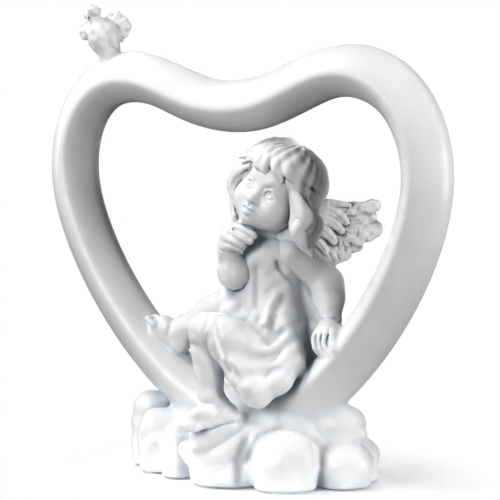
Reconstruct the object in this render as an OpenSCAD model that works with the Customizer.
// Cast-resin angel figurine: a seated child angel in an upright heart loop on a cloud base, with a
// dove on the loop. Each casting is a solid of its own, located by steel pins and glued.
// Millimetres. +Z is up, the angel faces -Y, and the origin is the middle of the felt's underside.

/* [Heart frame] */
// Half of the loop's width, to the middle of the bar
heart_half_width = 112.5; // [100:0.5:120]
// Height of the bar's middle at its foot, inside the cloud
heart_foot = 32; // [28:1:36]
// Height of the bar's middle at the widest place
heart_side = 165; // [155:1:175]
// Height of the bar's middle at the top of each lobe
heart_lobe = 218.5; // [212:0.5:225]
// Height of the bar's middle at the dip between the lobes
heart_dip = 201; // [195:1:207]
// Distance of each lobe's top from the middle
lobe_offset = 68; // [60:1:75]
// Width of the bar in the plane of the heart
bar_width = 29; // [24:0.5:30]
// Depth of the bar, front to back
bar_depth = 33; // [28:0.5:36]
// How far the front and back ridges lie inside the bar's middle
ridge_offset = 2.5; // [0:0.5:4]
// Sideways lean of the loop for each millimetre of height
heart_lean = 0.053; // [0:0.001:0.06]

/* [Cloud base] */
// Share of the cloud's nominal size
cloud_scale = 1; // [0.95:0.01:1.05]

/* [Angel] */
// Radius of the skull
skull_radius = 20.5; // [18:0.5:22]
// Reach of each wing from its root
wing_reach = 47; // [40:1:50]

/* [Dove] */
// Height of the dove above its perch
dove_height = 31; // [25:0.5:32]

/* [Fixings] */
// Diameter of the steel pins
pin_diameter = 3; // [2:0.5:4]
// Thickness of the felt under the cloud
felt_thickness = 1; // [0.8:0.1:2]

/* [Hidden] */

ball_fn = 16;          // facets round a limb or a fold
lobe_fn = 18;          // facets round a cloud lobe
bar_sides = 16;        // facets round the heart's bar
bar_steps = 12;        // rings in each of the six curves of the loop
section_power = 1.6;   // 2 is an ellipse and 1 a diamond
pin_r = pin_diameter / 2;
joint_gap = 0.05;      // room for glue in a pin hole

resin = [0.94, 0.94, 0.93];
resin_shade = [0.86, 0.87, 0.88];
steel = [0.6, 0.6, 0.62];
felt = [0.75, 0.75, 0.72];

// ---- body landmarks, all in the part's frame ----
pelvis = [17, -1, 65];
waist = [16, -1, 86];
chest = [15, 1, 103];
neck_foot = [13, 0, 121];
skull = [17, 0, 158];
left_hip = [25, -3, 63];
left_knee = [-6, -37, 83];
left_ankle = [-3, -35, 47];
left_heel = [2, -31, 39];
left_toe = [-9, -50, 37];
right_hip = [8, -2, 64];
right_knee = [-8, -8, 95];
right_ankle = [-42, -3, 78];
right_heel = [-41, -2, 71];
right_toe = [-60, -7, 87];
left_shoulder = [30, 0, 115];
left_elbow = [42, 16, 101];
left_wrist = [49, 4, 85];
left_fingers = [48, -3, 74];
right_shoulder = [0, 5, 115];
right_elbow = [-9, -10, 101];
right_wrist = [-9, -14, 126];
right_fingers = [10, -16, 130];
left_wing_root = [21, 15, 121];
right_wing_root = [7, 17, 121];
wing_turn = 42;        // angle of each wing from the plane of the heart

// ---- building blocks ----
module ball(c, r, fn = ball_fn)
    hull() translate(c) scale(is_list(r) ? r : [r, r, r]) sphere(1, $fn = fn);

module bone(a, ra, b, rb, fn = ball_fn)
    hull() {
        translate(a) sphere(ra, $fn = fn);
        translate(b) sphere(rb, $fn = fn);
    }

module pin_between(a, b, r) {
    d = b - a;
    translate(a)
        rotate([0, acos(d[2] / norm(d)), atan2(d[1], d[0])])
            cylinder(r = r, h = norm(d), $fn = 32);
}

// ---- heart frame ----
function bezier(p, t) = pow(1 - t, 3) * p[0] + 3 * t * pow(1 - t, 2) * p[1]
    + 3 * t * t * (1 - t) * p[2] + pow(t, 3) * p[3];
function bezier_slope(p, t) = 3 * pow(1 - t, 2) * (p[1] - p[0])
    + 6 * t * (1 - t) * (p[2] - p[1]) + 3 * t * t * (p[3] - p[2]);

// the right half of the loop, from the dip to the foot
half_curves = [
    [[0, heart_dip], [30, heart_dip], [lobe_offset - 23, heart_lobe], [lobe_offset, heart_lobe]],
    [[lobe_offset, heart_lobe], [lobe_offset + 26, heart_lobe],
     [heart_half_width, heart_side + 31], [heart_half_width, heart_side]],
    [[heart_half_width, heart_side], [heart_half_width, heart_side - 47],
     [50, heart_foot], [0, heart_foot]]
];
function mirrored(p) = [for (i = [3:-1:0]) [-p[i][0], p[i][1]]];
loop_curves = concat(half_curves, [for (i = [2:-1:0]) mirrored(half_curves[i])]);
function loop_point(i) = bezier(loop_curves[floor(i / bar_steps)], (i % bar_steps) / bar_steps);
function loop_slope(i) = bezier_slope(loop_curves[floor(i / bar_steps)], (i % bar_steps) / bar_steps);
function sharpened(c) = sign(c) * pow(abs(c), 2 / section_power);
function leaned(x, z) = x - heart_lean * (z - 50);
loop_rings = 6 * bar_steps;

function bar_point(i, j) =
    let (c = loop_point(i), s = loop_slope(i), n = [-s[1], s[0]] / norm(s),
         a = 360 * (j + 0.5) / bar_sides,
         v = sharpened(sin(a)),
         u = bar_width / 2 * sharpened(cos(a)) - ridge_offset * v * v,
         p = c + n * u)
    [leaned(p[0], p[1]), bar_depth / 2 * v, p[1]];

module heart_bar() {
    points = [for (i = [0:loop_rings - 1]) for (j = [0:bar_sides - 1]) bar_point(i, j)];
    function at(i, j) = (i % loop_rings) * bar_sides + j % bar_sides;
    faces = [for (i = [0:loop_rings - 1]) for (j = [0:bar_sides - 1])
        for (f = [[at(i, j), at(i, j + 1), at(i + 1, j + 1)],
                  [at(i, j), at(i + 1, j + 1), at(i + 1, j)]]) f];
    polyhedron(points, faces, convexity = 8);
}

module heart_frame()
    color(resin) difference() {
        heart_bar();
        frame_pin_holes();
        seat_pin_hole();
        dove_pin_hole();
    }

// ---- cloud base: each lobe is [centre, radii] ----
cloud_lobes = [
    [[-56, 4, 27], [20, 18, 20]],     // left end, upper
    [[-47, -14, 17], [20, 18, 20]],   // left front
    [[-60, 3, 13], [15, 16, 15]],     // left end, lower
    [[-1, -29, 15], [21, 18, 19]],    // front, under the foot
    [[-24, -22, 16], [17, 15, 18]],   // front, between the two
    [[38, -27, 16], [19, 18, 19]],    // front middle
    [[54, 0, 15], [18, 20, 18]],      // right end, lower
    [[47, 6, 30], [17, 16, 15]],      // right end, upper
    [[-34, 22, 18], [20, 17, 20]],    // back left
    [[0, 28, 16], [22, 17, 18]],      // back middle
    [[32, 24, 17], [20, 19, 19]],     // back right
    [[-14, 10, 27], [22, 18, 16]],    // top, back left
    [[20, 10, 28], [20, 18, 14]],     // top, back right
    [[14, -14, 24], [24, 20, 13]],    // top, front
    [[-24, -6, 26], [20, 18, 16]],    // top, front left
];
// the cloud's flat underside, each end of a lobe being [x, y, radius]
footprint = [[-58, 0, 13], [-44, -13, 14], [0, -29, 14], [38, -27, 14], [54, 0, 14], [34, 22, 16],
             [0, 27, 14], [-34, 20, 15]];

module footprint_area(inset)
    scale([cloud_scale, cloud_scale]) {
        for (c = footprint) translate([c[0], c[1]]) circle(c[2] - inset, $fn = 48);
        polygon([for (c = footprint) [c[0], c[1]]]);
    }

module cloud_mass() {
    scale([cloud_scale, cloud_scale, 1])
        for (lobe = cloud_lobes) ball(lobe[0], lobe[1], lobe_fn);
    translate([0, 0, felt_thickness]) linear_extrude(11) footprint_area(0);
}

module cloud_base()
    color(resin) difference() {
        cloud_mass();
        translate([-150, -150, felt_thickness - 60]) cube([300, 300, 60]);
        heart_bar();
        frame_pin_holes();
    }

module felt_sheet()
    color(felt) linear_extrude(felt_thickness) footprint_area(1.5);

// ---- angel ----
module dress_mass() {
    hull() {
        translate(neck_foot) scale([9, 8, 5]) sphere(1, $fn = ball_fn);
        translate(left_shoulder - [5, 0, 1]) sphere(8.5, $fn = ball_fn);
        translate(right_shoulder + [5, -1, 0]) sphere(8, $fn = ball_fn);
        translate(chest) scale([17.5, 14, 15]) sphere(1, $fn = ball_fn);
    }
    hull() {
        translate(chest) scale([17.5, 14, 15]) sphere(1, $fn = ball_fn);
        translate(waist) scale([18, 16, 13]) sphere(1, $fn = ball_fn);
    }
    hull() {
        translate(waist) scale([18, 16, 13]) sphere(1, $fn = ball_fn);
        translate(pelvis) scale([21, 18, 17]) sphere(1, $fn = ball_fn);
    }
    // the left thigh under the skirt, and the knee's half of the right one
    hull() {
        translate(left_hip) sphere(15, $fn = ball_fn);
        translate(left_knee + [8, 8, -4]) sphere(11, $fn = ball_fn);
    }
    bone(left_knee + [8, 8, -4], 11, left_knee + [2, 2, 1], 9);
    bone(right_hip, 12, right_knee + [2, 1, -4], 9.5);
    // the skirt's front falls over the frame from the left thigh to its lowest corner
    hull() {
        translate([10, -26, 72]) sphere(9, $fn = ball_fn);
        translate([28, -15, 64]) sphere(11, $fn = ball_fn);
        translate([6, -30, 60]) sphere(4, $fn = ball_fn);
        translate([21, -25, 46]) sphere(4, $fn = ball_fn);
        translate([36, -16, 60]) sphere(5, $fn = ball_fn);
    }
}

module dress_torso()
    color(resin) difference() {
        dress_mass();
        heart_bar();
        cloud_mass();
        seat_pin_hole();
        neck_pin_hole();
        wing_pin_holes();
    }

// the head looks up over the right hand, with its crown to the left shoulder
head_tilt = [-12, 25, -5];
module head_mass() {
    translate(skull) rotate(head_tilt) {
        ball([0, 0, 0], [skull_radius - 1, skull_radius - 1, skull_radius]);
        ball([-8, -8, -11], [11, 11, 11]);
        ball([8, -8, -11], [11, 11, 11]);
        ball([0, -12, -18], [8, 7.5, 7.5]);
        ball([0, -21, -6], [2.4, 3, 2.4], 10);
    }
    bone(skull + [-2, 1, -16], 9, neck_foot, 8);
}

module head()
    color(resin_shade) difference() {
        head_mass();
        dress_mass();
        neck_pin_hole();
    }

// each lock is [start, end, start radius, end radius], in the head's own frame
locks = [
    [[20, -2, 2], [21, -3, -15], 8.5, 7.5],
    [[21, -3, -15], [18, -4, -31], 7.5, 5],
    [[10, 12, -6], [8, 13, -30], 12, 8],
    [[-6, 12, -6], [-4, 13, -26], 12, 8],
    [[-19, -3, 4], [-22, -7, -8], 6, 5],
    [[-22, -7, -8], [-19, -8, -19], 5, 3],
];
module hair_mass()
    translate(skull) rotate(head_tilt) {
        ball([1, 3, 3], [skull_radius + 4.5, skull_radius + 3, skull_radius + 3.5], lobe_fn);
        for (lock = locks) bone(lock[0], lock[2], lock[1], lock[3]);
    }

// the hair is open in front of the face, below the fringe
module face_opening()
    translate(skull) rotate(head_tilt)
        hull() {
            translate([0, -26, 2]) scale([15, 12, 9]) sphere(1, $fn = lobe_fn);
            translate([0, -24, -16]) scale([17, 12, 16]) sphere(1, $fn = lobe_fn);
        }

module hair()
    color(resin) difference() {
        hair_mass();
        face_opening();
        head_mass();
        dress_mass();
        left_arm_mass();
    }

module left_arm_mass() {
    bone(left_shoulder, 10.5, left_elbow, 8.5);
    bone(left_elbow, 8.5, left_wrist, 6);
    bone(left_wrist, 5.6, left_fingers + [1, 1, 5], 6);
    for (i = [0:3])
        bone(left_fingers + [2.6 * i - 4, 1.2 * i - 1, 5], 2, left_fingers + [2.6 * i - 5, 1.2 * i - 4, -2 + i], 1.6, 10);
}

module left_arm()
    color(resin) difference() {
        left_arm_mass();
        dress_mass();
        heart_bar();
    }

module right_arm_mass() {
    bone(right_shoulder, 9, right_elbow, 7.6);
    bone(right_elbow, 7.6, right_wrist, 6);
    bone(right_wrist, 6, (right_wrist + right_fingers) / 2, 6.6);
    for (i = [0:3])
        bone((right_wrist + right_fingers) / 2 + [2, 0, 3.6 - 2.6 * i], 2.4,
             right_fingers + [1.5 - i, 0, 2.6 - 2.5 * i], 1.9, 10);
}

module right_arm()
    color(resin) difference() {
        right_arm_mass();
        dress_mass();
        head_mass();
        hair_mass();
    }

module toes(heel, toe, spread)
    for (i = [0:4])
        ball(toe + spread * (i - 2), 2.1 - 0.2 * abs(i - 1), 10);

module left_leg_mass() {
    bone(left_knee, 8.2, left_ankle, 7.2);
    bone(left_ankle, 6.8, left_heel, 6);
    bone(left_heel, 5.8, (left_heel + left_toe * 3) / 4, 4.4);
    bone((left_heel + left_toe) / 2, 5, left_toe + [2, 1, 0], 3.4);
    toes(left_heel, left_toe - [1, 2, 0.5], [-2.3, 1.2, 0.1]);
}

module left_leg()
    color(resin) difference() {
        left_leg_mass();
        dress_mass();
        heart_bar();
        cloud_mass();
    }

module right_leg_mass() {
    bone(right_knee, 8.4, right_ankle, 6.2);
    bone(right_ankle, 6, right_heel, 6);
    bone(right_heel, 5.8, (right_heel + right_toe * 3) / 4, 4.4);
    bone(right_ankle, 5, right_toe + [2, 1, -1], 3.2);
    toes(right_heel, right_toe + [-1, -1, 1], [0.3, -2.2, -0.3]);
}

module right_leg()
    color(resin) difference() {
        right_leg_mass();
        dress_mass();
        heart_bar();
        right_arm_mass();
    }

// each feather is [root, tip, half width] in the wing's plane, for a reach of 47
feathers = [
    [[6, 20], [22, 26], 4.6],
    [[8, 18], [42, 23], 5.4],
    [[10, 14], [43, 12], 5.6],
    [[8, 10], [32, 3], 5.2],
    [[6, 7], [24, -3], 4.6],
    [[4, 4], [15, -8], 4.2],
    [[-2, 0], [10, 16], 5.5],
    [[2, 2], [8, 8], 7],
];
module wing()
    scale([wing_reach / 47, 0.42, wing_reach / 47])
        for (f = feathers)
            bone([f[0][0], 0, f[0][1]], f[2] - 0.6, [f[1][0], 0, f[1][1]], f[2], 12);

module left_wing()
    color(resin_shade) difference() {
        translate(left_wing_root) rotate([0, 0, wing_turn]) wing();
        dress_mass();
        hair_mass();
        left_arm_mass();
        wing_pin_holes();
    }

module right_wing()
    color(resin_shade) difference() {
        translate(right_wing_root) rotate([0, 0, -wing_turn]) mirror([1, 0, 0]) wing();
        dress_mass();
        hair_mass();
        wing_pin_holes();
    }

// ---- dove, perched on the left lobe and standing square to it ----
dove_perch = [-93, -3, 229];
dove_lean = -20;
module dove_mass()
    translate(dove_perch) rotate([0, dove_lean, 0]) scale(dove_height / 29) {
        bone([0, 0, -2], 5.5, [0, 0, 4], 6);
        ball([0, 0.5, 11], [8.5, 8, 11]);
        bone([0, 0, 17], 5.5, [-1.5, -2, 24], 4.2);
        bone([-3.4, -5.4, 22.6], 1.4, [-4.6, -7.6, 20.8], 0.8, 10);
        for (side = [-1, 1]) bone([side * 8, 3, 17], 5.4, [side * 8, 6, 8], 3.6, 14);
        bone([0, 7, 6], 4, [0, 15, 1], 3, 12);
    }

module dove()
    color(resin) difference() {
        dove_mass();
        heart_bar();
        dove_pin_hole();
    }

// ---- steel pins and their holes ----
frame_pin_spots = [[-14, 0], [14, 0]];
module frame_pin_set(r)
    for (p = frame_pin_spots) pin_between([p[0], p[1], 8], [p[0], p[1], 28], r);
module frame_pin_holes() frame_pin_set(pin_r + joint_gap);
module frame_pins() color(steel) frame_pin_set(pin_r);

seat_pin_ends = [[10, 0, 36], [13, -1, 62]];
module seat_pin_hole() pin_between(seat_pin_ends[0], seat_pin_ends[1], pin_r + joint_gap);
module seat_pin() color(steel) pin_between(seat_pin_ends[0], seat_pin_ends[1], pin_r);

neck_pin_ends = [[14.5, 1, 106], [15.5, 1, 138]];
module neck_pin_hole() pin_between(neck_pin_ends[0], neck_pin_ends[1], pin_r + joint_gap);
module neck_pin() color(steel) pin_between(neck_pin_ends[0], neck_pin_ends[1], pin_r);

wing_pin_r = pin_r * 0.5;
wing_pin_ends = [[[16, 6, 116], [25, 18, 124]], [[12, 6, 116], [4, 19, 124]]];
module wing_pin_set(r) for (e = wing_pin_ends) pin_between(e[0], e[1], r);
module wing_pin_holes() wing_pin_set(wing_pin_r + joint_gap);
module wing_pins() color(steel) wing_pin_set(wing_pin_r);

dove_pin_ends = [dove_perch + [3, 0, -9], dove_perch + [-2.5, 0, 7]];
module dove_pin_hole() pin_between(dove_pin_ends[0], dove_pin_ends[1], wing_pin_r + joint_gap);
module dove_pin() color(steel) pin_between(dove_pin_ends[0], dove_pin_ends[1], wing_pin_r);

cloud_base();
heart_frame();
dress_torso();
head();
hair();
left_arm();
right_arm();
left_leg();
right_leg();
left_wing();
right_wing();
dove();
felt_sheet();
frame_pins();
seat_pin();
neck_pin();
wing_pins();
dove_pin();
